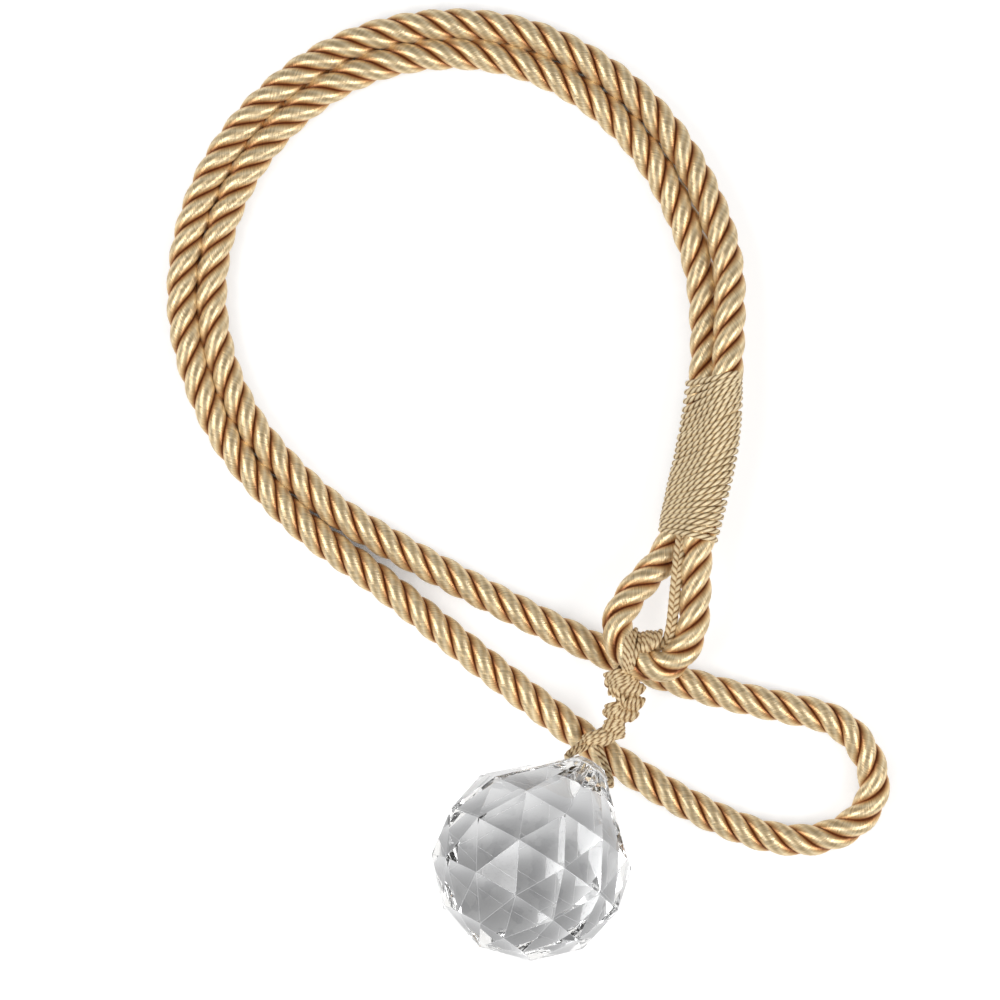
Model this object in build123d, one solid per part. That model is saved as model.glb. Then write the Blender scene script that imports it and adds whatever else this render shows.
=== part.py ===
from build123d import *
from math import atan, cos, radians, sin, tan
import os

os.makedirs("parts", exist_ok=True)

# Curtain tieback: one twisted satin rope doubled into a ring and a far loop, whipped together
# above a small eye, with a faceted crystal ball hung from the eye on a knotted thin cord.
# Millimetres, +Z up, lying on a table at z = 0, origin under the middle of the whole lay.

# Rope
rope_diameter = 6.0
rope_clearance = 0.15

# The rope's route, point by point: from its butted end in the whipping, up the lower leg, round
# the inside of the ring, along the upper run, round the far loop, back by the lower run and the
# outside of the ring, down the upper leg, round the eye and back to the butted end.
rope_route = [
    (31.9, -2.9, 4.8),
    (34.5, 8.6, 4.6),
    (36.4, 27.7, 4.1),
    (34.4, 48.1, 3.0),
    (20.7, 73.0, 3.0),
    (-4.8, 87.2, 3.0),
    (-34.2, 84.5, 3.0),
    (-56.4, 66.0, 3.0),
    (-65.4, 39.9, 3.0),
    (-59.1, 14.8, 3.0),
    (-43.1, -3.4, 3.0),
    (-26.2, -13.6, 3.0),
    (-9.6, -22.3, 3.0),
    (6.5, -30.3, 3.0),
    (22.6, -37.6, 3.0),
    (39.8, -43.0, 3.0),
    (52.9, -45.8, 3.0),
    (61.7, -47.6, 3.0),
    (67.8, -53.1, 3.0),
    (70.6, -61.1, 3.0),
    (67.4, -68.4, 3.0),
    (59.3, -72.4, 3.0),
    (48.8, -72.2, 3.0),
    (34.7, -66.6, 3.0),
    (19.6, -57.7, 3.0),
    (2.5, -45.4, 3.0),
    (-14.6, -32.1, 3.0),
    (-30.7, -19.2, 3.0),
    (-47.1, -8.2, 3.0),
    (-64.7, 11.8, 3.0),
    (-71.8, 40.1, 3.0),
    (-61.8, 69.6, 3.0),
    (-36.6, 90.5, 3.0),
    (-3.4, 93.6, 3.0),
    (25.3, 77.6, 3.2),
    (40.6, 49.9, 5.2),
    (40.6, 27.1, 8.6),
    (38.6, 8.0, 9.1),
    (33.7, -13.4, 9.8),
    (33.6, -22.2, 9.8),
    (33.0, -31.3, 10.1),
    (28.2, -37.7, 10.1),
    (20.8, -36.3, 10.1),
    (16.8, -29.7, 10.0),
    (21.1, -21.8, 8.2),
    (29.2, -14.2, 5.3),
    (31.75, -3.4, 4.85),
]

# Whipping: a thin-walled sleeve standing for its turns, round the two legs laid one above the other
whip_top = (37.8, 20.5)
whip_bend = (36.5, 8.3)
whip_end = (32.2, -10.6)
whip_top_height = 6.55
whip_bend_height = 6.85
whip_end_height = 7.4
whip_thickness = 1.1
whip_end_round = 0.45
whip_top_slant = 20.0
whip_over = 4.0
leg_spacing = 6.15
leg_roll = 48.0

# Thin cord from the whipping down inside the eye
tail_diameter = 2.4
tail_route = [
    (29.8, -10.5, 9.7),
    (29.1, -17.6, 10.6),
    (28.3, -24.7, 10.3),
    (26.8, -29.8, 10.1),
    (24.0, -32.1, 10.1),
]

# Hitch of the thin cord round the eye's bend, and the knots that hang from it
hitch_point = 42
hitch_thickness = 0.8
hitch_share = 0.8
knot_gap = 0.12
knot_belly = 3.7
knot_neck = 1.3
plait_belly = 2.15
plait_neck = 1.7
joint_upper = (19.3, -43.6, 8.7)
joint_middle = (17.9, -47.8, 7.7)
joint_lower = (16.4, -50.7, 8.4)
joint_end = (12.1, -52.2, 8.5)

# Crystal ball: rows of twelve cut facets, a long crown to a flat tip, and a hole across the tip
ball_diameter = 40.0
facet_count = 12
belt_latitude = 28.0
lower_latitude = 58.0
tip_radius = 3.0
tip_rise = 3.0
hole_diameter = 1.8
hole_depth = 1.9
hole_place = (11.8, -57.8)
ball_heading = (0.53, 0.848)

# Cord loop through the hole, as (along the hole, towards the tip, upwards) from the hole's middle
loop_diameter = 1.2
loop_gap = 0.6
loop_leave = 0.3
loop_left = [
    (-5.5, 2.9, -2.6),
    (-6.2, 0.9, -0.6),
    (-5.5, 0.0, 0.0),
]
loop_right = [
    (5.5, 0.0, 0.0),
    (6.2, 0.9, -0.6),
    (5.2, 2.8, -2.6),
    (2.0, 4.6, -4.6),
]


# A cord's path: straight runs joined by tangent arcs, each as large as its two runs allow.
def cord_path(points):
    spots = [Vector(*point) for point in points]
    radii = []
    for before, here, after in zip(spots, spots[1:], spots[2:]):
        half_turn = radians((here - before).get_angle(after - here)) / 2
        run = min((here - before).length, (after - here).length)
        radii.append(0.45 * run / tan(half_turn))
    return FilletPolyline(*spots, radius=radii), radii


def tube(path, diameter):
    return sweep(Plane(path @ 0, z_dir=path % 0) * Circle(diameter / 2), path=path)


# A knot or plait: a full round belly between two flat ends, cut square to the joints it meets.
def knot(start, end, belly, neck, start_way, end_way):
    line = end - start
    span = line.length
    outline = Polyline((0, -1), (neck, -1), (neck, 0))
    outline += ThreePointArc((neck, 0), (belly, span / 2), (neck, span))
    outline += Polyline((neck, span), (neck, span + 1), (0, span + 1), (0, -1))
    half = make_face(Plane.XZ * outline)
    body = Plane(start, z_dir=line).location * revolve(half, Axis.Z)
    step = knot_gap / 2
    body = split(body, Plane(start + start_way * step, z_dir=start_way), keep=Keep.TOP)
    return split(body, Plane(end - end_way * step, z_dir=end_way), keep=Keep.BOTTOM)


# Rope
rope_path, rope_radii = cord_path(rope_route)
main_rope = tube(rope_path, rope_diameter)
print("rope length", round(rope_path.length, 1), "volume", round(main_rope.volume))
print("rope section times length", round(Circle(rope_diameter / 2).area * rope_path.length))
print("rope radii", [round(radius, 1) for radius in rope_radii])

# Whipping sleeve, swept along the middle between the legs and cut aslant at its upper end
axis_top = Vector(*whip_top, whip_top_height)
axis_bend = Vector(*whip_bend, whip_bend_height)
axis_end = Vector(*whip_end, whip_end_height)
axis_start = axis_top + (axis_top - axis_bend).normalized() * whip_over
whip_path, whip_radii = cord_path([axis_start, axis_bend, axis_end])
whip_way = (axis_bend - axis_start).normalized()
across = whip_way.cross(Vector(0, 0, -1)).normalized()
leg_way = across.rotate(Axis((0, 0, 0), whip_way), leg_roll)
if leg_way.Z * across.X < 0:
    leg_way = across.rotate(Axis((0, 0, 0), whip_way), -leg_roll)
leg_bore = rope_diameter + 2 * rope_clearance
whip_section = SlotCenterToCenter(leg_spacing, leg_bore + 2 * whip_thickness)
whip_section -= SlotCenterToCenter(leg_spacing, leg_bore)
whipping = sweep(Plane(axis_start, x_dir=leg_way, z_dir=whip_way) * whip_section, path=whip_path)
slant_way = whip_way.rotate(Axis.Z, whip_top_slant)
whipping = split(whipping, Plane(axis_top, z_dir=slant_way), keep=Keep.TOP)
whip_ends = whipping.faces().sort_by(Axis.Y)
whip_rims = whip_ends[0].outer_wire().edges() + whip_ends[-1].outer_wire().edges()
whipping = fillet(whip_rims, whip_end_round)

# Hitch collar on the eye's bend, over the middle of that corner's arc
bend_arc = rope_path.edges().filter_by(GeomType.CIRCLE).sort_by_distance(rope_route[hitch_point])[0]
hitch_path = bend_arc.trim(0.5 - hitch_share / 2, 0.5 + hitch_share / 2)
hitch_bore = rope_diameter + 2 * rope_clearance
hitch_section = Circle(hitch_bore / 2 + hitch_thickness) - Circle(hitch_bore / 2)
eye_hitch = sweep(Plane(hitch_path @ 0, z_dir=hitch_path % 0) * hitch_section, path=hitch_path)
hitch_middle = hitch_path @ 0.5
hitch_way = (hitch_middle - bend_arc.arc_center).normalized()

# Thin cord's tail
tail_path, tail_radii = cord_path(tail_route)
tail_cord = tube(tail_path, tail_diameter)
print("tail length", round(tail_path.length, 1), "radii", [round(radius, 1) for radius in tail_radii])

# Knots and plait
joints = [
    hitch_middle + hitch_way * (hitch_bore / 2 + hitch_thickness),
    Vector(*joint_upper),
    Vector(*joint_middle),
    Vector(*joint_lower),
    Vector(*joint_end),
]
ways = [(after - before).normalized() for before, after in zip(joints, joints[1:])]
cuts = [hitch_way]
cuts += [(before + after).normalized() for before, after in zip(ways, ways[1:])]
cuts += [ways[-1]]
knot_upper = knot(joints[0], joints[1], knot_belly, knot_neck, cuts[0], cuts[1])
knot_lower = knot(joints[1], joints[2], knot_belly, knot_neck, cuts[1], cuts[2])
plait_neck_piece = knot(joints[2], joints[3], plait_belly, plait_neck, cuts[2], cuts[3])
plait_over = knot(joints[3], joints[4], plait_belly, plait_neck, cuts[3], cuts[4])

# Crystal ball in its own frame: axis up to the tip, one belt corner on +X
ball_radius = ball_diameter / 2
step_angle = 360 / facet_count


def facet_row(radius, height, shift):
    return [
        Vector(
            radius * cos(radians(step_angle * (index + shift))),
            radius * sin(radians(step_angle * (index + shift))),
            height,
        )
        for index in range(facet_count)
    ]


def latitude_row(latitude, shift):
    return facet_row(ball_radius * cos(radians(latitude)), ball_radius * sin(radians(latitude)), shift)


def facet(*corners):
    return Face(Wire.make_polygon(corners, close=True))


tip_height = ball_radius + tip_rise
tip_row = facet_row(tip_radius, tip_height, 0)
belt_upper = latitude_row(belt_latitude, 0)
girdle = latitude_row(0, 0.5)
belt_lower = latitude_row(-belt_latitude, 0)
base_row = latitude_row(-lower_latitude, 0.5)
pole = Vector(0, 0, -ball_radius)

facets = [facet(*tip_row)]
for here in range(facet_count):
    after = (here + 1) % facet_count
    facets.append(facet(tip_row[here], tip_row[after], belt_upper[after], belt_upper[here]))
    facets.append(facet(belt_upper[here], belt_upper[after], girdle[here]))
    facets.append(facet(girdle[here], girdle[after], belt_upper[after]))
    facets.append(facet(belt_lower[here], belt_lower[after], girdle[here]))
    facets.append(facet(girdle[here], girdle[after], belt_lower[after]))
    facets.append(facet(belt_lower[here], belt_lower[after], base_row[here]))
    facets.append(facet(base_row[here], base_row[after], belt_lower[after]))
    facets.append(facet(base_row[here], base_row[after], pole))
ball = Solid(Shell(facets))
hole_height = tip_height - hole_depth
ball -= Pos(0, 0, hole_height) * Rot(90, 0, 0) * Cylinder(hole_diameter / 2, 2 * ball_diameter)

# The ball lies on one of its belt facets, which dips the tip towards the table
girdle_flat = ball_radius * cos(radians(step_angle / 2))
belt_reach = ball_radius * cos(radians(belt_latitude))
belt_height = ball_radius * sin(radians(belt_latitude))
dip = atan((girdle_flat - belt_reach) / belt_height)
rest_height = girdle_flat * cos(dip)
heading = Vector(*ball_heading, 0).normalized()
tip_way = heading * cos(dip) - Vector(0, 0, sin(dip))
down_way = (Vector(0, 0, -1) - tip_way * sin(dip)).normalized()
ball_middle = Vector(*hole_place, 0) - heading * (hole_height * cos(dip)) + Vector(0, 0, rest_height)
crystal_ball = Plane(ball_middle, x_dir=down_way, z_dir=tip_way).location * ball

# Loop of thin cord through the hole, back to the plait's end
hole_middle = ball_middle + tip_way * hole_height
hole_way = heading.cross(Vector(0, 0, 1)).normalized()
rise_way = hole_way.cross(tip_way)
loop_side = ways[-1].cross(Vector(0, 0, -1)).normalized()
loop_start = joints[-1] + ways[-1] * loop_gap
loop_end = joints[-1] + (joints[-2] - joints[-1]) * loop_leave + loop_side * (plait_belly + loop_gap)


def from_hole(spot):
    return hole_middle + hole_way * spot[0] + tip_way * spot[1] + rise_way * spot[2]


loop_route = [loop_start] + [from_hole(spot) for spot in loop_left + loop_right] + [loop_end]
loop_path, loop_radii = cord_path(loop_route)
ball_loop = tube(loop_path, loop_diameter)
print("loop length", round(loop_path.length, 1), "radii", [round(radius, 1) for radius in loop_radii])
print("loop points", [tuple(round(value, 2) for value in spot) for spot in loop_route])
print("ball middle", ball_middle, "dip", dip, "hole middle", hole_middle)
print("joints", joints)

nodes = {
    "main_rope": main_rope,
    "whipping": whipping,
    "tail_cord": tail_cord,
    "eye_hitch": eye_hitch,
    "knot_upper": knot_upper,
    "knot_lower": knot_lower,
    "plait_neck": plait_neck_piece,
    "plait_over": plait_over,
    "ball_loop": ball_loop,
    "crystal_ball": crystal_ball,
}
for name, shape in nodes.items():
    export_step(shape, f"parts/{name}.step")
whole = Compound(children=[shape for shape in nodes.values()]).bounding_box()
print("box", whole.min, whole.max)
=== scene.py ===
import math
import random
import bpy
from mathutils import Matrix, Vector


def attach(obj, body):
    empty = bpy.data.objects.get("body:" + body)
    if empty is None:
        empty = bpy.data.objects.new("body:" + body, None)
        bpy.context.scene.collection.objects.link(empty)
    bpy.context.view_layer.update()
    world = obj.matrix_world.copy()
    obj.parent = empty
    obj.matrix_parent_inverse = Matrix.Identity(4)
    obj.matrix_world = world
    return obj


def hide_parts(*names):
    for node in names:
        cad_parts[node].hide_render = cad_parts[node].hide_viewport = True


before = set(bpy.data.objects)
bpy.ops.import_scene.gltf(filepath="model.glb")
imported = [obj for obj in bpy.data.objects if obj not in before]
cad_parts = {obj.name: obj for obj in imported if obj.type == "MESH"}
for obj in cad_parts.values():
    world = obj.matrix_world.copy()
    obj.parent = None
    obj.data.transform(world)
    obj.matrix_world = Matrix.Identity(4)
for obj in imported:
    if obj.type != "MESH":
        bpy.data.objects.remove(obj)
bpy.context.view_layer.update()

mm = 0.001
body = "root"
print("frame loaded")


# Node helpers
def addNode(tree, kind, **settings):
    made = tree.nodes.new(kind)
    for key, value in settings.items():
        setattr(made, key, value)
    return made


def feed(tree, socket, value):
    if isinstance(value, bpy.types.NodeSocket):
        tree.links.new(value, socket)
    else:
        socket.default_value = value


def mathNode(tree, operation, *values):
    made = addNode(tree, "ShaderNodeMath", operation=operation)
    for socket, value in zip(made.inputs, values):
        feed(tree, socket, value)
    return made.outputs[0]


def vectorNode(tree, operation, first, second=None, scale=None):
    made = addNode(tree, "ShaderNodeVectorMath", operation=operation)
    feed(tree, made.inputs[0], first)
    if second is not None:
        feed(tree, made.inputs[1], second)
    if scale is not None:
        feed(tree, made.inputs["Scale"], scale)
    return made.outputs[0]


def colourRamp(tree, factor, stops):
    made = addNode(tree, "ShaderNodeValToRGB")
    elements = made.color_ramp.elements
    while len(elements) < len(stops):
        elements.new(0.5)
    for element, (place, colour) in zip(elements, stops):
        element.position = place
        element.color = (*colour, 1)
    tree.links.new(factor, made.inputs[0])
    return made.outputs[0]


# Satin thread: its filaments lie across each strand
thread = {
    "ior": 1.62,
    "glint": (1.0, 0.90, 0.70, 1),  # tint of the gloss and of the sheen
    "sheen": 0.1,
    "sheenRoughness": 0.4,
    "glossTurn": 0.25,  # a quarter turn lays the gloss along the filaments
    "cellsAround": 3,  # noise cells round a strand
    "ribDetail": 2,
    "blotchScale": 0.06,
    "blotchShare": 0.2,
    "bumpDepth": 0.5,  # for each filament spacing
}
# Stops go from a strand's crest, at 0, to its inner side, at 1
# The rope's tan carries painted light: a taupe line of painted shade along the crest, pale bands of
# painted highlight on the sides, and painted shade deepening to red brown in the grooves
ropeSatin = {
    "name": "ropeSatin",
    "stops": [
        (0.00, (0.60, 0.45, 0.25)),
        (0.06, (0.70, 0.54, 0.32)),
        (0.15, (0.96, 0.78, 0.50)),
        (0.24, (0.84, 0.60, 0.315)),
        (0.33, (0.63, 0.365, 0.16)),
        (0.40, (0.41, 0.165, 0.055)),
        (0.445, (0.19, 0.055, 0.014)),
    ],
    "filament": 0.22 * mm,  # half of the spacing of the visible ribs
    "girth": 10.5 * mm,  # round one strand
    "strandStretch": 1.22,  # strand length for each length of rope
    "lean": 0.36,  # how far a filament leans along the strand as it goes round it
    "contrast": 1.0,
    "bump": 0.8,
    "roughness": 0.33,
    "anisotropy": 0.75,
    "gloss": 0.5,
    "lustre": 0.48,
}
# The whipping cord's stops darken from the crest to the ply grooves: painted shade
cordSatin = {
    "name": "cordSatin",
    "stops": [
        (0.00, (0.97, 0.82, 0.55)),
        (0.18, (0.88, 0.71, 0.45)),
        (0.31, (0.52, 0.35, 0.165)),
        (0.41, (0.13, 0.062, 0.02)),
    ],
    "filament": 0.12 * mm,
    "girth": 2.4 * mm,
    "strandStretch": 1.1,
    "lean": 0.45,
    "contrast": 0.40,
    "bump": 0.35,
    "roughness": 0.42,
    "anisotropy": 0.5,
    "gloss": 0.7,
    "lustre": 0.0,
}
# The hanger cord's stops darken from the crest to the ply grooves: painted shade
hangerSatin = dict(cordSatin, name="hangerSatin", contrast=0.6, stops=[
    (0.00, (0.84, 0.68, 0.43)),
    (0.28, (0.70, 0.51, 0.28)),
    (0.42, (0.36, 0.20, 0.08)),
    (0.60, (0.13, 0.055, 0.018)),
])
# Dark copy of the cord for the knots' core, seen only in their gaps: painted shade
coreShade = dict(cordSatin, name="coreShade", stops=[
    (0.0, (0.30, 0.18, 0.075)),
    (0.6, (0.10, 0.045, 0.014)),
])


def satin(finish):
    material = bpy.data.materials.new(finish["name"])
    material.use_nodes = True
    tree = material.node_tree
    shader = tree.nodes["Principled BSDF"]
    laid = addNode(tree, "ShaderNodeUVMap", uv_map="cordUV")
    parts = addNode(tree, "ShaderNodeSeparateXYZ")
    tree.links.new(laid.outputs[0], parts.inputs[0])
    around, along = parts.outputs[0], parts.outputs[1]
    offCrest = mathNode(tree, "ABSOLUTE", mathNode(tree, "SUBTRACT", around, 0.5))
    fromCrest = mathNode(tree, "MULTIPLY", offCrest, 2)
    ribPlace = mathNode(tree, "MULTIPLY", along, finish["strandStretch"] / finish["filament"])
    lean = mathNode(tree, "MULTIPLY", around, finish["lean"] * finish["girth"] / finish["filament"])
    place = addNode(tree, "ShaderNodeCombineXYZ")
    tree.links.new(mathNode(tree, "ADD", ribPlace, lean), place.inputs[0])
    tree.links.new(mathNode(tree, "MULTIPLY", around, thread["cellsAround"]), place.inputs[1])
    ribs = addNode(tree, "ShaderNodeTexNoise", noise_dimensions="2D")
    ribs.inputs["Scale"].default_value = 1
    ribs.inputs["Detail"].default_value = thread["ribDetail"]
    tree.links.new(place.outputs[0], ribs.inputs["Vector"])
    blotch = addNode(tree, "ShaderNodeTexNoise", noise_dimensions="2D")
    blotch.inputs["Scale"].default_value = thread["blotchScale"]
    blotch.inputs["Detail"].default_value = 1
    tree.links.new(place.outputs[0], blotch.inputs["Vector"])
    # Colour from the stops across each strand: the cord's tan with painted highlight and painted shade
    tone = colourRamp(tree, fromCrest, finish["stops"])
    contrast, blotchShare = finish["contrast"], thread["blotchShare"]
    steady = 1 - (contrast + blotchShare) / 2  # keeps the mean tone as the stops give it
    # The ribs' colour follows their bump height, lighter on the ridges and darker between them: painted
    # shade
    ribShade = mathNode(tree, "MULTIPLY", ribs.outputs[0], contrast)
    blotchChange = mathNode(tree, "MULTIPLY_ADD", blotch.outputs[0], blotchShare, steady)
    change = mathNode(tree, "ADD", ribShade, blotchChange)
    tree.links.new(vectorNode(tree, "SCALE", tone, scale=change), shader.inputs["Base Color"])
    bump = addNode(tree, "ShaderNodeBump")
    bump.inputs["Strength"].default_value = finish["bump"]
    bump.inputs["Distance"].default_value = finish["filament"] * thread["bumpDepth"]
    tree.links.new(ribs.outputs[0], bump.inputs["Height"])
    tree.links.new(bump.outputs[0], shader.inputs["Normal"])
    tangent = addNode(tree, "ShaderNodeTangent", direction_type="UV_MAP", uv_map="cordUV")
    tree.links.new(tangent.outputs[0], shader.inputs["Tangent"])
    shader.inputs["Roughness"].default_value = finish["roughness"]
    shader.inputs["IOR"].default_value = thread["ior"]
    shader.inputs["Metallic"].default_value = finish["lustre"]
    shader.inputs["Specular IOR Level"].default_value = finish["gloss"]
    shader.inputs["Specular Tint"].default_value = thread["glint"]
    shader.inputs["Anisotropic"].default_value = finish["anisotropy"]
    shader.inputs["Anisotropic Rotation"].default_value = thread["glossTurn"]
    shader.inputs["Sheen Weight"].default_value = thread["sheen"]
    shader.inputs["Sheen Roughness"].default_value = thread["sheenRoughness"]
    shader.inputs["Sheen Tint"].default_value = thread["glint"]
    return material


ropeMaterial = satin(ropeSatin)
cordMaterial = satin(cordSatin)
hangerMaterial = satin(hangerSatin)
coreShadeMaterial = satin(coreShade)


# Clear glass for the ball, with a trace of haze in patches, and its ground edges
glassFinish = {
    "name": "cutGlass",
    "tint": (0.985, 0.99, 0.995, 1),
    "ior": 1.54,
    "patchScale": 260,
    "patchDetail": 3,
    "clear": 0.5,  # noise level under which there is no haze
    "haze": 0.08,
    "cloud": 0.0,  # share of the light that the glass scatters and doesn't let through
}
edgeFinish = dict(glassFinish, name="cutEdge", tint=(0.92, 0.93, 0.94, 1), haze=0.9, cloud=0.42)


def clearGlass(finish):
    material = bpy.data.materials.new(finish["name"])
    material.use_nodes = True
    tree = material.node_tree
    shader = tree.nodes["Principled BSDF"]
    place = addNode(tree, "ShaderNodeTexCoord")
    polish = addNode(tree, "ShaderNodeTexNoise")
    polish.inputs["Scale"].default_value = finish["patchScale"]
    polish.inputs["Detail"].default_value = finish["patchDetail"]
    tree.links.new(place.outputs["Object"], polish.inputs["Vector"])
    patch = mathNode(tree, "MAXIMUM", mathNode(tree, "SUBTRACT", polish.outputs[0], finish["clear"]), 0)
    tree.links.new(mathNode(tree, "MULTIPLY", patch, finish["haze"]), shader.inputs["Roughness"])
    shader.inputs["Base Color"].default_value = finish["tint"]
    shader.inputs["Transmission Weight"].default_value = 1 - finish["cloud"]
    shader.inputs["IOR"].default_value = finish["ior"]
    return material


glassMaterial = clearGlass(glassFinish)
edgeMaterial = clearGlass(edgeFinish)
print("materials made")


# How a strand's thickness wavers along it
waver = {"cellsPerMetre": 260, "strandStep": 7.3}


# Laid cord tree: winds strands round a line, gives each a rounded section, and maps it
def laidCordTree():
    tree = bpy.data.node_groups.new("laidCord", "GeometryNodeTree")
    face = tree.interface
    face.new_socket("Geometry", in_out="INPUT", socket_type="NodeSocketGeometry")
    face.new_socket("Geometry", in_out="OUTPUT", socket_type="NodeSocketGeometry")
    for name in ("Strands", "Section Points", "Seed"):
        face.new_socket(name, in_out="INPUT", socket_type="NodeSocketInt")
    for name in ("Lay Radius", "Lay Pitch", "Start Turn", "Strand Height", "Strand Width", "Ring Step",
                 "Unevenness"):
        face.new_socket(name, in_out="INPUT", socket_type="NodeSocketFloat")
    face.new_socket("Finish", in_out="INPUT", socket_type="NodeSocketMaterial")
    given = addNode(tree, "NodeGroupInput").outputs
    result = addNode(tree, "NodeGroupOutput")

    def through(kind, geometry, **settings):
        made = addNode(tree, kind, **settings)
        tree.links.new(geometry, made.inputs[0])
        return made

    def keep(geometry, name, value, kind="FLOAT", domain="POINT"):
        made = through("GeometryNodeStoreNamedAttribute", geometry, data_type=kind, domain=domain)
        made.inputs["Name"].default_value = name
        tree.links.new(value, made.inputs["Value"])
        return made.outputs[0]

    def recall(name, kind="FLOAT"):
        made = addNode(tree, "GeometryNodeInputNamedAttribute", data_type=kind)
        made.inputs[0].default_value = name
        return made.outputs[0]

    line = through("GeometryNodeResampleCurve", given["Geometry"], mode="LENGTH")
    tree.links.new(given["Ring Step"], line.inputs["Length"])
    lineNormal = addNode(tree, "GeometryNodeInputNormal").outputs[0]
    lineTangent = addNode(tree, "GeometryNodeInputTangent").outputs[0]
    length = addNode(tree, "GeometryNodeSplineParameter").outputs["Length"]
    kept = keep(line.outputs[0], "layNormal", lineNormal, "FLOAT_VECTOR")
    lineSide = vectorNode(tree, "CROSS_PRODUCT", lineTangent, lineNormal)
    kept = keep(kept, "laySide", lineSide, "FLOAT_VECTOR")
    kept = keep(kept, "layLength", length)
    copies = through("GeometryNodeDuplicateElements", kept, domain="SPLINE")
    tree.links.new(given["Strands"], copies.inputs["Amount"])
    kept = keep(copies.outputs[0], "strandNumber", copies.outputs[1], "FLOAT", "CURVE")
    share = mathNode(tree, "DIVIDE", recall("strandNumber"), given["Strands"])
    turns = mathNode(tree, "DIVIDE", recall("layLength"), given["Lay Pitch"])
    turn = mathNode(tree, "ADD", mathNode(tree, "ADD", turns, share), given["Start Turn"])
    angle = mathNode(tree, "MULTIPLY", turn, math.tau)
    cosine, sine = mathNode(tree, "COSINE", angle), mathNode(tree, "SINE", angle)
    ahead = vectorNode(tree, "SCALE", recall("layNormal", "FLOAT_VECTOR"), scale=cosine)
    aside = vectorNode(tree, "SCALE", recall("laySide", "FLOAT_VECTOR"), scale=sine)
    kept = keep(kept, "outward", vectorNode(tree, "ADD", ahead, aside), "FLOAT_VECTOR")
    moved = through("GeometryNodeSetPosition", kept)
    offset = vectorNode(tree, "SCALE", recall("outward", "FLOAT_VECTOR"), scale=given["Lay Radius"])
    tree.links.new(offset, moved.inputs["Offset"])
    turned = through("GeometryNodeSetCurveNormal", moved.outputs[0], mode="FREE")
    tree.links.new(recall("outward", "FLOAT_VECTOR"), turned.inputs["Normal"])
    wobble = addNode(tree, "ShaderNodeTexNoise", noise_dimensions="2D")
    wobble.inputs["Scale"].default_value = 1
    wobble.inputs["Detail"].default_value = 1
    spot = addNode(tree, "ShaderNodeCombineXYZ")
    spotAlong = mathNode(tree, "MULTIPLY", recall("layLength"), waver["cellsPerMetre"])
    spotRow = mathNode(tree, "MULTIPLY_ADD", recall("strandNumber"), waver["strandStep"], given["Seed"])
    tree.links.new(spotAlong, spot.inputs[0])
    tree.links.new(spotRow, spot.inputs[1])
    tree.links.new(spot.outputs[0], wobble.inputs["Vector"])
    sway = mathNode(tree, "SUBTRACT", wobble.outputs[0], 0.5)
    uneven = mathNode(tree, "MULTIPLY", sway, given["Unevenness"])
    sized = through("GeometryNodeSetCurveRadius", turned.outputs[0])
    tree.links.new(mathNode(tree, "ADD", uneven, 1), sized.inputs["Radius"])

    section = addNode(tree, "GeometryNodeCurvePrimitiveCircle")
    section.inputs["Radius"].default_value = 1
    tree.links.new(given["Section Points"], section.inputs["Resolution"])
    aroundShare = addNode(tree, "GeometryNodeSplineParameter").outputs["Factor"]
    marked = keep(section.outputs[0], "around", aroundShare)
    shaped = through("GeometryNodeTransform", marked)
    shaped.inputs["Rotation"].default_value = (0, 0, math.pi)  # the seam lies on the strand's inner side
    size = addNode(tree, "ShaderNodeCombineXYZ")
    tree.links.new(given["Strand Height"], size.inputs[0])
    tree.links.new(given["Strand Width"], size.inputs[1])
    size.inputs[2].default_value = 1
    tree.links.new(size.outputs[0], shaped.inputs["Scale"])
    skin = through("GeometryNodeCurveToMesh", sized.outputs[0])
    tree.links.new(shaped.outputs[0], skin.inputs["Profile Curve"])
    skin.inputs["Fill Caps"].default_value = True
    tree.links.new(addNode(tree, "GeometryNodeInputRadius").outputs[0], skin.inputs["Scale"])
    unrolled = addNode(tree, "ShaderNodeCombineXYZ")
    tree.links.new(recall("around"), unrolled.inputs[0])
    tree.links.new(recall("layLength"), unrolled.inputs[1])
    mapped = keep(skin.outputs[0], "cordUV", unrolled.outputs[0], "FLOAT2", "CORNER")
    smooth = through("GeometryNodeSetShadeSmooth", mapped)
    real = through("GeometryNodeRealizeInstances", smooth.outputs[0])
    done = through("GeometryNodeSetMaterial", real.outputs[0])
    tree.links.new(given["Finish"], done.inputs["Material"])
    tree.links.new(done.outputs[0], result.inputs[0])
    return tree


cordTree = laidCordTree()
cordInputs = [item for item in cordTree.interface.items_tree if item.in_out == "INPUT"]
cordSockets = {item.name: item.identifier for item in cordInputs}


# Smooth line through a cord's route: the route's points are the control points of a NURBS spline
def routeLine(points, resolution=10):
    data = bpy.data.curves.new("route", "CURVE")
    data.dimensions = "3D"
    spline = data.splines.new("NURBS")
    spline.points.add(len(points) - 1)
    for spot, point in zip(spline.points, points):
        spot.co = (*(value * mm for value in point), 1)
    spline.order_u = 3
    spline.use_endpoint_u = True
    spline.resolution_u = resolution
    holder = bpy.data.objects.new("route", data)
    mesh = bpy.data.meshes.new_from_object(holder)
    line = [vertex.co.copy() for vertex in mesh.vertices]
    bpy.data.meshes.remove(mesh)
    bpy.data.curves.remove(data)
    return line


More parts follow.
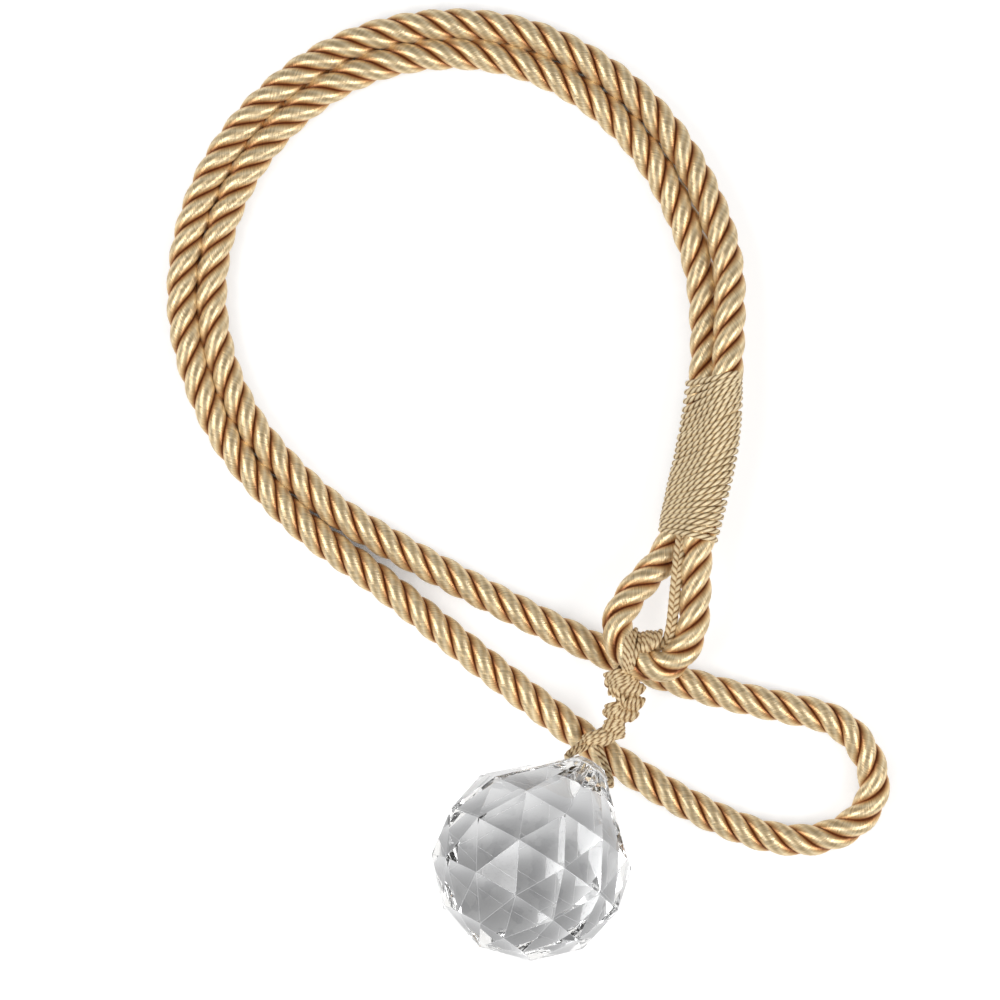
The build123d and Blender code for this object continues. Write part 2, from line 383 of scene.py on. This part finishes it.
def layCord(name, lines, lay, material):
    data = bpy.data.curves.new(name, "CURVE")
    data.dimensions = "3D"
    for line in lines:
        spline = data.splines.new("POLY")
        spline.points.add(len(line) - 1)
        for spot, point in zip(spline.points, line):
            spot.co = (*point, 1)
    holder = bpy.data.objects.new(name + "Line", data)
    bpy.context.scene.collection.objects.link(holder)
    modifier = holder.modifiers.new("lay", "NODES")
    modifier.node_group = cordTree
    for socket, value in lay.items():
        modifier[cordSockets[socket]] = value
    modifier[cordSockets["Finish"]] = material
    bpy.context.view_layer.update()
    mesh = bpy.data.meshes.new_from_object(holder.evaluated_get(bpy.context.evaluated_depsgraph_get()))
    mesh.name = name
    holder.modifiers.remove(modifier)
    bpy.data.objects.remove(holder)
    piece = bpy.data.objects.new(name, mesh)
    bpy.context.scene.collection.objects.link(piece)
    print(name, "faces", len(mesh.polygons))
    return piece


def settle(piece, slot, *nodes):
    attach(piece, body)
    if nodes:
        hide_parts(*nodes)


# Main rope, three strands laid right-handed
rope = {
    "diameter": 6.0 * mm,
    "length": 0.86,
    "lift": 0.3,  # in mm, because the strands' crests stand out past the plain tube
    "route": [
        (31.9, -2.9, 4.8), (34.5, 8.6, 4.6), (36.4, 27.7, 4.1), (34.4, 48.1, 3.0),
        (20.7, 73.0, 3.0), (-4.8, 87.4, 3.0), (-34.3, 84.7, 3.0), (-56.6, 66.1, 3.0),
        (-65.65, 39.9, 3.0), (-59.3, 14.7, 3.0), (-43.1, -3.4, 3.0), (-26.2, -13.6, 3.0),
        (-9.6, -22.3, 3.0), (6.5, -30.3, 3.0), (22.6, -37.6, 3.0), (39.8, -43.0, 3.0),
        (52.9, -45.8, 3.0), (61.7, -47.6, 3.0), (67.8, -53.1, 3.0), (70.6, -61.1, 3.0),
        (67.4, -68.4, 3.0), (59.3, -72.4, 3.0), (48.8, -72.2, 3.0), (34.7, -66.6, 3.0),
        (19.6, -57.7, 3.0), (2.5, -45.4, 3.0), (-14.6, -32.1, 3.0), (-30.7, -19.2, 3.0),
        (-47.0, -8.1, 3.0), (-64.5, 11.9, 3.0), (-71.65, 40.1, 3.0), (-61.7, 69.5, 3.0),
        (-36.5, 90.3, 3.0), (-3.4, 93.45, 3.0), (25.2, 77.5, 3.2), (40.6, 49.9, 5.2),
        (40.6, 27.1, 8.6), (38.6, 8.0, 9.1), (33.7, -13.4, 9.8), (33.6, -22.2, 9.8),
        (33.0, -31.3, 10.1), (28.2, -37.7, 10.1), (20.8, -36.3, 10.1), (16.8, -29.7, 10.0),
        (21.1, -21.8, 8.2), (29.2, -14.2, 5.3), (31.75, -3.4, 4.85),
    ],
    "lay": {
        "Strands": 3, "Section Points": 18, "Seed": 3, "Lay Radius": 1.72 * mm, "Lay Pitch": 16.8 * mm,
        "Start Turn": 0.0, "Strand Height": 1.58 * mm, "Strand Width": 1.80 * mm, "Ring Step": 0.66 * mm,
        "Unevenness": 0.06,
    },
}
ropeLine = routeLine([(x, y, z + rope["lift"]) for x, y, z in rope["route"]], resolution=12)
mainRope = layCord("mainRope", [ropeLine], rope["lay"], ropeMaterial)
settle(mainRope, "satin_rope", "main_rope")

# Thin cord from the whipping down inside the eye
tail = {
    "route": [
        (31.3, -8.0, 8.3), (31.0, -10.5, 9.4), (30.4, -13.5, 10.6),
        (29.6, -20.5, 11.0), (29.1, -26.0, 10.9), (28.75, -29.2, 10.7),
        (28.15, -31.6, 10.3), (26.9, -33.1, 9.7), (25.5, -33.6, 9.0),
    ],
    "cords": [  # two plied cords side by side, twisted opposite ways
        {"name": "tailCord", "aside": -0.52, "pitch": -2.7 * mm, "nodes": ["tail_cord"]},
        {"name": "tailCordInner", "aside": 0.52, "pitch": 2.7 * mm, "nodes": []},
    ],
    "lay": {
        "Strands": 2, "Section Points": 12, "Seed": 5, "Lay Radius": 0.29 * mm,
        "Start Turn": 0.1, "Strand Height": 0.37 * mm, "Strand Width": 0.47 * mm, "Ring Step": 0.12 * mm,
        "Unevenness": 0.1,
    },
}
for cord in tail["cords"]:
    line = routeLine([(x + cord["aside"], y, z) for x, y, z in tail["route"]])
    lay = dict(tail["lay"], **{"Lay Pitch": cord["pitch"]})
    settle(layCord(cord["name"], [line], lay, hangerMaterial), "thin_cord", *cord["nodes"])

# Whipping: thin three-ply cord wound round the rope's two legs
whip = {
    "axis": [
        (37.5, 24.8, 6.7), (37.3, 20.5, 6.75), (36.5, 8.3, 7.05), (32.2, -10.6, 7.6), (31.4, -14.5, 7.7),
    ],
    "turns": 27,
    "pointsPerTurn": 40,
    "firstPoint": 24,  # the cord's two ends lie underneath
    "start": 3.6 * mm,  # along the axis line to the first turn's middle
    "finish": 36.4 * mm,
    "legRoll": 48.0,  # degrees, because one leg lies higher than the other
    "legSpacing": 6.15 * mm,
    # share of the length, and there the way from a leg's middle to the cord's middle in mm
    "reaches": [(0.0, 2.9), (0.1, 3.2), (0.3, 3.55), (0.6, 3.75), (0.9, 3.6), (1.0, 3.4)],
    # share of the length, and there the turn's slant in degrees
    "slants": [
        (0.0, 14.0), (0.12, 31.0), (0.27, 37.0), (0.31, 31.0), (0.5, 34.0), (0.75, 24.0), (1.0, 3.0),
    ],
    "seed": 7,
    "stray": 0.14 * mm,  # how far a turn strays along the axis
    "lay": {
        "Strands": 3, "Section Points": 8, "Seed": 8, "Lay Radius": 0.27 * mm, "Lay Pitch": -5.2 * mm,
        "Start Turn": 0.0, "Strand Height": 0.34 * mm, "Strand Width": 0.43 * mm, "Ring Step": 0.40 * mm,
        "Unevenness": 0.25,
    },
}


# Value at a share of the length, between the given pairs
def steps(pairs, share):
    for (low, lowValue), (high, highValue) in zip(pairs, pairs[1:]):
        if share <= high:
            return lowValue + (highValue - lowValue) * (share - low) / (high - low)
    return pairs[-1][1]


# Place and direction at a length along a line
def lineSpot(line, length):
    for before, after in zip(line, line[1:]):
        run = (after - before).length
        if length <= run or after is line[-1]:
            return before + (after - before) * (length / run), (after - before).normalized()
        length -= run


# Point on the outline round two legs side by side
def legOutline(share, spacing, reach):
    bend = math.pi * reach
    place = share * 2 * (spacing + bend)
    if place < spacing:
        return place - spacing / 2, reach
    if place < spacing + bend:
        angle = math.pi / 2 - (place - spacing) / reach
        return spacing / 2 + reach * math.cos(angle), reach * math.sin(angle)
    if place < 2 * spacing + bend:
        return spacing * 1.5 + bend - place, -reach
    angle = -math.pi / 2 - (place - 2 * spacing - bend) / reach
    return -spacing / 2 + reach * math.cos(angle), reach * math.sin(angle)


def whippingLine(spec):
    axis = routeLine(spec["axis"], resolution=16)
    chance = random.Random(spec["seed"])
    strays = []
    for turn in range(spec["turns"] + 1):
        strays.append((turn / spec["turns"], chance.uniform(-1, 1) * spec["stray"]))
    roll = math.radians(spec["legRoll"])
    line = []
    total = spec["turns"] * spec["pointsPerTurn"]
    for index in range(total + 1):
        share = index / total
        along = spec["start"] + (spec["finish"] - spec["start"]) * share + steps(strays, share)
        reach = steps(spec["reaches"], share) * mm
        turned = (index + spec["firstPoint"]) / spec["pointsPerTurn"]
        wide, high = legOutline(turned % 1.0, spec["legSpacing"], reach)
        right = wide * math.cos(roll) - high * math.sin(roll)
        up = wide * math.sin(roll) + high * math.cos(roll)
        slant = math.tan(math.radians(steps(spec["slants"], share)))
        middle, way = lineSpot(axis, along - right * slant)
        side = Vector((0, 0, 1)).cross(way).normalized()
        line.append(middle + side * right + way.cross(side) * up)
    return line


whipping = layCord("whipping", [whippingLine(whip)], whip["lay"], cordMaterial)
settle(whipping, "thin_cord", "whipping")

# Hitch, knots and plait of the hanger cord
hanger = {
    "lay": {
        "Strands": 2, "Section Points": 8, "Seed": 11, "Lay Radius": 0.18 * mm, "Lay Pitch": -2.8 * mm,
        "Start Turn": 0.2, "Strand Height": 0.34 * mm, "Strand Width": 0.43 * mm, "Ring Step": 0.18 * mm,
        "Unevenness": 0.2,
    },
    "coreLay": {
        "Strands": 3, "Section Points": 10, "Seed": 13, "Lay Radius": 0.9 * mm, "Lay Pitch": -9.0 * mm,
        "Start Turn": 0.0, "Strand Height": 0.9 * mm, "Strand Width": 1.0 * mm, "Ring Step": 0.4 * mm,
        "Unevenness": 0.1,
    },
    "core": [
        (18.6, -37.6, 10.2), (19.0, -40.5, 9.4), (19.6, -43.0, 8.7), (19.0, -45.6, 8.2),
        (18.0, -47.8, 7.8), (17.4, -49.8, 7.8), (15.6, -51.0, 8.2), (13.0, -51.6, 8.4),
    ],
    "ringSpread": 1.45,  # a ring's half height for each height of its seen side
    "ringUnder": [(0.97, 1.1), (0.75, 1.77), (0.5, 1.9), (0.25, 1.77), (0.03, 1.1)],  # share across, drop
}


# Ring of cord round a knot: the seen side is given, and the ring closes underneath
def roundPass(seen):
    first, last = Vector(seen[0]), Vector(seen[-1])
    crown = max(point[2] for point in seen)
    high = (crown - first.z) * hanger["ringSpread"]
    under = []
    for share, drop in hanger["ringUnder"]:
        place = first.lerp(last, share)
        place.z = crown - drop * high
        under.append(place)
    return routeLine([*seen, *under, first], resolution=6)


# Hitch round the eye's bend: some cords cross the rope to the knot, the rest loop its inner edge
hitch = {
    "routes": [
        [(19.2, -37.3, 6.9), (20.0, -30.2, 7.6), (19.9, -30.4, 12.2),
         (19.6, -32.0, 13.3), (19.4, -33.3, 13.5), (19.3, -34.5, 13.5),
         (19.4, -35.7, 13.3), (19.3, -37.1, 12.5), (18.9, -38.8, 10.2)],
        [(19.6, -37.4, 6.9), (20.8, -29.9, 7.6), (20.7, -30.1, 11.4),
         (20.3, -31.6, 12.9), (20.1, -33.0, 13.4), (20.1, -34.3, 13.6),
         (19.9, -35.5, 13.5), (19.9, -37.1, 12.8), (19.3, -38.9, 10.4)],
        [(20.1, -37.4, 6.9), (21.7, -29.6, 7.6), (21.6, -29.8, 10.4),
         (21.2, -31.3, 11.9), (20.9, -32.7, 12.9), (20.8, -33.9, 13.4),
         (20.5, -35.2, 13.6), (20.4, -37.2, 13.0), (19.8, -38.9, 10.4)],
        [(20.5, -37.3, 6.9), (22.2, -30.4, 7.8), (22.2, -30.6, 10.4),
         (22.5, -31.9, 11.8), (22.1, -33.1, 12.8), (21.6, -34.3, 13.4),
         (21.1, -35.5, 13.6), (20.9, -37.1, 13.1), (20.2, -38.8, 10.0)],
        [(22.6, -34.5, 8.2), (22.9, -32.6, 7.8), (23.1, -30.4, 8.8), (23.2, -30.6, 11.2),
         (23.3, -32.0, 12.6), (23.0, -33.3, 13.2), (22.5, -34.6, 12.2), (22.6, -34.7, 9.0)],
        [(23.2, -34.2, 8.2), (23.6, -32.4, 7.8), (24.0, -30.1, 8.8), (24.0, -30.4, 11.2),
         (24.0, -31.9, 12.6), (23.7, -33.2, 13.1), (23.2, -34.4, 12.0), (23.2, -34.5, 9.0)],
        [(23.7, -33.8, 8.2), (24.2, -32.2, 7.8), (24.7, -30.1, 8.8), (24.7, -30.4, 11.1),
         (24.7, -31.9, 12.4), (24.3, -33.0, 12.9), (23.7, -34.1, 11.8), (23.7, -34.2, 9.0)],
        [(24.2, -33.4, 8.2), (24.9, -32.1, 7.8), (25.6, -30.2, 8.8), (25.6, -30.4, 11.0),
         (25.5, -31.9, 12.2), (24.9, -32.8, 12.6), (24.2, -33.8, 11.6), (24.2, -33.9, 9.0)],
        [(24.8, -33.0, 8.2), (25.7, -31.7, 7.8), (26.6, -29.9, 8.8), (26.6, -30.1, 10.8),
         (26.3, -31.6, 11.9), (25.7, -32.6, 12.3), (24.8, -33.4, 11.4), (24.8, -33.5, 9.0)],
    ],
}
hitchLines = [routeLine(route, resolution=8) for route in hitch["routes"]]
eyeHitch = layCord("eyeHitch", hitchLines, hanger["lay"], hangerMaterial)
settle(eyeHitch, "thin_cord", "eye_hitch")

knotUpper = {
    "rings": [
        [(15.5, -38.8, 10.6), (16.7, -38.3, 11.7), (18.0, -37.9, 12.1),
         (19.2, -38.0, 11.6), (20.2, -38.3, 10.6)],
        [(15.9, -39.3, 10.6), (17.0, -39.0, 11.9), (18.2, -38.7, 12.5),
         (19.4, -38.8, 11.9), (20.5, -38.7, 10.6)],
        [(16.4, -39.7, 10.6), (17.9, -39.3, 12.3), (19.0, -39.4, 12.6),
         (20.1, -39.1, 12.0), (21.2, -39.2, 10.6)],
        [(16.5, -40.3, 10.5), (18.0, -39.9, 12.3), (19.4, -40.0, 12.6),
         (20.4, -39.6, 11.8), (21.5, -39.7, 10.5)],
        [(16.7, -40.9, 10.3), (18.1, -40.5, 12.1), (19.4, -40.6, 12.4),
         (20.5, -40.3, 11.7), (21.9, -40.1, 10.3)],
        [(17.4, -41.4, 10.1), (18.8, -41.3, 11.9), (19.9, -41.2, 12.1),
         (21.0, -40.9, 11.4), (22.2, -40.6, 10.1)],
        [(18.3, -42.0, 10.0), (19.6, -41.9, 11.4), (20.6, -41.6, 11.7),
         (21.6, -41.2, 10.9), (22.3, -41.0, 10.0)],
        [(19.4, -42.6, 9.8), (20.4, -42.2, 11.1), (21.5, -41.7, 11.3),
         (22.3, -41.2, 10.6), (22.9, -40.9, 9.8)],
        [(20.4, -42.9, 9.7), (21.4, -42.4, 11.0), (22.2, -41.8, 10.9), (22.9, -41.2, 9.7)],
        [(21.6, -42.9, 9.6), (22.3, -42.4, 10.7), (22.9, -41.8, 10.4), (23.3, -41.3, 9.6)],
    ],
    "bights": [
        [(17.0, -40.6, 9.6), (16.4, -41.5, 10.8), (16.5, -42.6, 9.6)],
        [(17.7, -40.6, 10.0), (17.1, -41.7, 11.2), (17.2, -42.9, 10.0)],
        [(18.3, -41.3, 10.0), (17.9, -42.2, 11.2), (18.0, -43.3, 10.0)],
        [(17.2, -39.6, 8.8), (16.3, -39.4, 10.0), (15.7, -40.0, 10.0),
         (15.8, -40.9, 10.0), (16.8, -41.2, 8.8)],
    ],
}
knotLower = {
    "rings": [
        [(15.8, -45.1, 9.1), (16.8, -44.6, 10.5), (17.9, -44.6, 10.4), (18.9, -44.4, 9.1)],
        [(15.6, -46.0, 9.1), (16.8, -45.6, 10.7), (17.9, -45.2, 10.7), (19.1, -44.9, 9.1)],
        [(15.8, -46.7, 9.0), (17.0, -46.2, 10.7), (18.1, -45.7, 10.7), (19.3, -45.2, 9.0)],
        [(16.4, -47.3, 8.9), (17.5, -46.7, 10.6), (18.5, -46.1, 10.6), (19.7, -45.6, 8.9)],
        [(17.3, -47.7, 8.8), (18.3, -47.1, 10.4), (19.2, -46.4, 10.4), (20.3, -45.8, 8.8)],
        [(18.4, -47.8, 8.7), (19.3, -47.2, 10.3), (20.2, -46.6, 10.1), (21.0, -46.0, 8.7)],
        [(19.4, -48.0, 8.6), (20.4, -47.4, 10.0), (21.2, -46.7, 9.7), (21.7, -46.1, 8.6)],
        [(20.5, -47.9, 8.4), (21.3, -47.4, 9.6), (22.0, -46.6, 8.4)],
        [(19.1, -45.1, 9.3), (19.9, -44.3, 10.9), (20.6, -43.6, 10.7), (21.3, -43.1, 9.3)],
        [(19.9, -45.5, 9.3), (20.6, -44.7, 10.9), (21.3, -43.8, 10.6), (21.9, -43.3, 9.3)],
        [(20.7, -45.8, 9.2), (21.4, -45.0, 10.6), (22.0, -44.1, 10.4), (22.5, -43.5, 9.2)],
        [(21.6, -45.8, 9.0), (22.3, -45.2, 10.2), (22.9, -44.4, 10.1), (23.2, -43.7, 9.0)],
    ],
    "bights": [
        [(17.8, -42.6, 9.6), (18.3, -43.7, 10.8), (18.9, -44.8, 9.6)],
        [(19.4, -42.5, 9.9), (19.1, -43.7, 11.1), (18.5, -44.9, 9.9)],
        [(16.4, -45.5, 7.6), (15.4, -45.9, 8.8), (15.4, -46.6, 8.8), (16.2, -47.1, 7.6)],
    ],
}
plaitNeck = {
    "rings": [
        [(15.7, -48.3, 8.5), (16.8, -47.8, 9.6), (18.0, -47.7, 9.7), (19.3, -48.1, 8.5)],
        [(15.4, -49.1, 8.5), (16.5, -48.6, 9.7), (17.7, -48.2, 9.8), (19.1, -48.4, 8.5)],
        [(15.1, -49.8, 8.5), (16.3, -49.2, 9.7), (17.6, -48.8, 9.8), (19.1, -48.9, 8.5)],
        [(15.4, -50.2, 8.5), (16.6, -49.8, 9.7), (17.8, -49.3, 9.8), (19.2, -49.4, 8.5)],
        [(15.9, -50.7, 8.5), (16.9, -50.3, 9.6), (17.9, -49.9, 9.7), (19.2, -50.0, 8.5)],
        [(16.6, -51.1, 8.4), (17.5, -50.8, 9.5), (18.3, -50.5, 9.5), (19.2, -50.6, 8.4)],
        [(17.3, -51.5, 8.3), (18.2, -51.2, 9.3), (19.1, -51.1, 8.3)],
    ],
    "bights": [],
}
plaitOver = {
    "rings": [],
    "bights": [
        [(17.2, -49.9, 8.5), (16.0, -50.3, 9.4), (14.5, -50.1, 9.4), (13.3, -50.4, 9.4),
         (12.1, -50.7, 9.4), (11.2, -51.4, 8.9)],
        [(17.5, -50.4, 9.2), (16.1, -50.8, 10.1), (14.7, -50.8, 10.1), (13.5, -51.1, 10.1),
         (12.3, -51.2, 10.1), (11.2, -51.8, 9.6)],
        [(17.5, -50.8, 9.4), (16.1, -51.2, 10.3), (14.8, -51.8, 10.3), (13.5, -51.7, 10.3),
         (12.4, -51.7, 10.3), (11.4, -52.2, 9.8)],
        [(17.4, -51.2, 9.1), (16.2, -51.8, 10.0), (15.0, -52.4, 10.0), (13.7, -52.2, 10.0),
         (12.6, -52.2, 10.0), (11.7, -52.6, 9.5)],
        [(17.1, -51.8, 8.4), (15.9, -52.4, 9.3), (14.5, -52.8, 9.3),
         (13.4, -52.8, 9.3), (12.5, -52.8, 8.8)],
        [(17.3, -50.4, 7.3), (15.6, -50.5, 8.2), (14.0, -50.9, 8.2),
         (12.5, -51.2, 8.2), (11.4, -51.7, 7.7)],
        [(17.3, -51.2, 7.0), (15.8, -51.8, 7.9), (14.2, -52.2, 7.9),
         (12.8, -52.4, 7.9), (11.8, -52.5, 7.4)],
        [(17.2, -50.8, 6.6), (15.6, -51.2, 7.4), (14.0, -51.5, 7.4),
         (12.5, -51.8, 7.4), (11.5, -52.1, 7.0)],
    ],
}
for name, knot, node in (("knotUpper", knotUpper, "knot_upper"), ("knotLower", knotLower, "knot_lower"),
                         ("plaitNeck", plaitNeck, "plait_neck"), ("plaitOver", plaitOver, "plait_over")):
    lines = [roundPass(seen) for seen in knot["rings"]]
    lines += [routeLine(route, resolution=8) for route in knot["bights"]]
    settle(layCord(name, lines, hanger["lay"], hangerMaterial), "thin_cord", node)
# The core inside the knots is laid in the dark painted-shade cord
knotCore = layCord("knotCore", [routeLine(hanger["core"])], hanger["coreLay"], coreShadeMaterial)
settle(knotCore, "thin_cord")

# Fine strands from the plait through the ball's hole
ballLoop = {
    "routes": [
        [(11.2, -51.7, 9.4), (10.1, -52.7, 11.1), (9.0, -53.4, 12.7), (7.9, -54.2, 14.4),
         (7.4, -54.9, 15.7), (11.8, -57.8, 15.7), (16.3, -60.8, 15.7), (16.9, -60.3, 15.0),
         (16.6, -58.8, 13.2), (15.6, -56.2, 11.2), (14.5, -52.9, 9.8)],
        [(11.9, -52.4, 9.4), (10.7, -53.3, 11.2), (9.5, -53.8, 12.8), (8.2, -54.6, 14.4),
         (7.3, -55.2, 15.2), (11.6, -57.5, 15.2), (16.1, -60.3, 15.2), (16.6, -60.0, 14.8),
         (16.0, -58.7, 13.0), (14.9, -56.0, 11.0), (13.5, -53.1, 9.8)],
        [(12.6, -52.9, 9.4), (11.2, -53.6, 10.9), (9.8, -54.1, 12.3), (8.3, -54.8, 14.2),
         (7.6, -55.2, 15.2), (12.0, -58.1, 15.2), (16.5, -60.9, 15.2), (16.9, -60.6, 14.5),
         (16.3, -59.0, 12.6), (15.2, -56.4, 10.6), (14.1, -53.6, 9.4)],
    ],
    "lay": {
        "Strands": 2, "Section Points": 8, "Seed": 21, "Lay Radius": 0.15 * mm, "Lay Pitch": -3.6 * mm,
        "Start Turn": 0.2, "Strand Height": 0.29 * mm, "Strand Width": 0.35 * mm, "Ring Step": 0.18 * mm,
        "Unevenness": 0.1,
    },
}
loopLines = [routeLine(route) for route in ballLoop["routes"]]
loopCord = layCord("ballLoop", loopLines, ballLoop["lay"], hangerMaterial)
settle(loopCord, "thin_cord", "ball_loop")
print("cords laid")

# Ball: its own CAD form in clear glass, with the facets' edges just broken
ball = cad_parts["crystal_ball"]
ball.data.materials.clear()
for finish in (glassMaterial, edgeMaterial):
    ball.data.materials.append(finish)
edges = {"merge": 0.001 * mm, "width": 0.13 * mm, "angle": 4.0, "slot": 1}
joined = ball.modifiers.new("join", "WELD")
joined.merge_threshold = edges["merge"]
broken = ball.modifiers.new("edges", "BEVEL")
broken.width = edges["width"]
broken.segments = 1
broken.material = edges["slot"]
broken.limit_method = "ANGLE"
broken.angle_limit = math.radians(edges["angle"])

# Light is turned back many times inside the ball's crown before it gets out
bounces = {"max_bounces": 24, "glossy_bounces": 12, "transmission_bounces": 24}
for limit, count in bounces.items():
    setattr(bpy.context.scene.cycles, limit, count)

# Floor: white where seen or mirrored, plain paper to the lamps, and through the glass a glowing grey
# dapple: painted shadow and light under the ball
stage = {
    "half": 4.0,
    "drop": 0.3 * mm,
    "white": 0.66,  # glow that is added to what the lamps give
    # The white glow fades in slits and under edges, found by ambient occlusion: painted shade
    "nook": 6.0 * mm,  # how near a slit's walls are for its floor to be dark
    "samples": 2,
    "shut": (0.15, 0.5),  # open share of the sky at which the floor is dark, and at which it is white
    "seen": 0.55,  # the floor's own colour to the camera
    "paper": 0.72,  # and to the lamps
    "dapple": 48.0,  # noise cells in a metre
    "shadowGreys": [(0.36, (0.12, 0.12, 0.122)), (0.50, (0.36, 0.36, 0.365)), (0.64, (0.84, 0.84, 0.84))],
}


def floorMaterial(spec):
    material = bpy.data.materials.new("floorPaper")
    material.use_nodes = True
    tree = material.node_tree
    tree.nodes.clear()
    output = addNode(tree, "ShaderNodeOutputMaterial")
    plain = addNode(tree, "ShaderNodeBsdfDiffuse")
    plain.inputs[0].default_value = (spec["paper"],) * 3 + (1,)
    seen = addNode(tree, "ShaderNodeBsdfDiffuse")
    seen.inputs[0].default_value = (spec["seen"],) * 3 + (1,)
    glow = addNode(tree, "ShaderNodeEmission")
    # Ambient occlusion takes the glow away near walls: painted shade in slits and under edges
    openSky = addNode(tree, "ShaderNodeAmbientOcclusion", samples=spec["samples"])
    openSky.inputs["Distance"].default_value = spec["nook"]
    whiteness = addNode(tree, "ShaderNodeMapRange")
    tree.links.new(openSky.outputs["AO"], whiteness.inputs["Value"])
    whiteness.inputs["From Min"].default_value, whiteness.inputs["From Max"].default_value = spec["shut"]
    whiteness.inputs["To Max"].default_value = spec["white"]
    tree.links.new(whiteness.outputs["Result"], glow.inputs[1])
    bright = addNode(tree, "ShaderNodeAddShader")
    tree.links.new(seen.outputs[0], bright.inputs[0])
    tree.links.new(glow.outputs[0], bright.inputs[1])
    patches = addNode(tree, "ShaderNodeTexNoise")
    patches.inputs["Scale"].default_value = spec["dapple"]
    patches.inputs["Detail"].default_value = 1
    tree.links.new(addNode(tree, "ShaderNodeTexCoord").outputs["Object"], patches.inputs["Vector"])
    # Emission in a grey dapple, seen only through the glass: painted shadow and light
    paintedShadowGlow = addNode(tree, "ShaderNodeEmission")
    tree.links.new(colourRamp(tree, patches.outputs[0], spec["shadowGreys"]), paintedShadowGlow.inputs[0])
    rays = addNode(tree, "ShaderNodeLightPath").outputs
    through = addNode(tree, "ShaderNodeMixShader")
    tree.links.new(rays["Is Transmission Ray"], through.inputs[0])
    tree.links.new(plain.outputs[0], through.inputs[1])
    tree.links.new(paintedShadowGlow.outputs[0], through.inputs[2])
    mix = addNode(tree, "ShaderNodeMixShader")
    mirrored = mathNode(tree, "SUBTRACT", rays["Is Glossy Ray"], rays["Is Transmission Ray"])
    tree.links.new(mathNode(tree, "MAXIMUM", rays["Is Camera Ray"], mirrored), mix.inputs[0])
    tree.links.new(through.outputs[0], mix.inputs[1])
    tree.links.new(bright.outputs[0], mix.inputs[2])
    tree.links.new(mix.outputs[0], output.inputs[0])
    return material


half, level = stage["half"], -stage["drop"]
floorMesh = bpy.data.meshes.new("floor")
corners = [(-half, -half, level), (half, -half, level), (half, half, level), (-half, half, level)]
floorMesh.from_pydata(corners, [], [(0, 1, 2, 3)])
floorMesh.materials.append(floorMaterial(stage))
floor = bpy.data.objects.new("floor", floorMesh)
bpy.context.scene.collection.objects.link(floor)

# Two round softboxes, aimed at the object's middle: each strand takes a highlight from either side
softboxes = {
    "leftLight": {"place": (-0.65, -0.07, 0.82), "size": 0.72, "watts": 6.6},
    "rightLight": {"place": (0.78, -0.33, 0.74), "size": 0.72, "watts": 7.2},
}
for name, spec in softboxes.items():
    data = bpy.data.lights.new(name, "AREA")
    data.shape = "DISK"
    data.size = spec["size"]
    data.energy = spec["watts"]
    lamp = bpy.data.objects.new(name, data)
    lamp.location = spec["place"]
    lamp.rotation_euler = (-Vector(spec["place"])).to_track_quat("-Z", "Y").to_euler()
    bpy.context.scene.collection.objects.link(lamp)

# World: soft light, and a bright room in what the glass shows
room = {"tint": (1.0, 0.985, 0.96, 1), "light": 0.20, "seen": 0.95}
world = bpy.data.worlds.new("studio")
world.use_nodes = True
worldTree = world.node_tree
sky = worldTree.nodes["Background"]
sky.inputs[0].default_value = room["tint"]
rays = addNode(worldTree, "ShaderNodeLightPath").outputs
glassRay = mathNode(worldTree, "MAXIMUM", rays["Is Singular Ray"], rays["Is Transmission Ray"])
shown = mathNode(worldTree, "MAXIMUM", rays["Is Camera Ray"], glassRay)
strength = mathNode(worldTree, "MULTIPLY_ADD", shown, room["seen"] - room["light"], room["light"])
worldTree.links.new(strength, sky.inputs[1])
bpy.context.scene.world = world

# Camera: straight down
camera = {"place": (-0.00555, -0.00373, 1.0), "lens": 178.0, "sensor": 36.0}
eye = bpy.data.objects.new("camera", bpy.data.cameras.new("camera"))
eye.data.sensor_width = camera["sensor"]
eye.data.lens = camera["lens"]
eye.location = camera["place"]
bpy.context.scene.collection.objects.link(eye)
bpy.context.scene.camera = eye
bpy.context.scene.view_settings.view_transform = "Standard"
print("stage set")
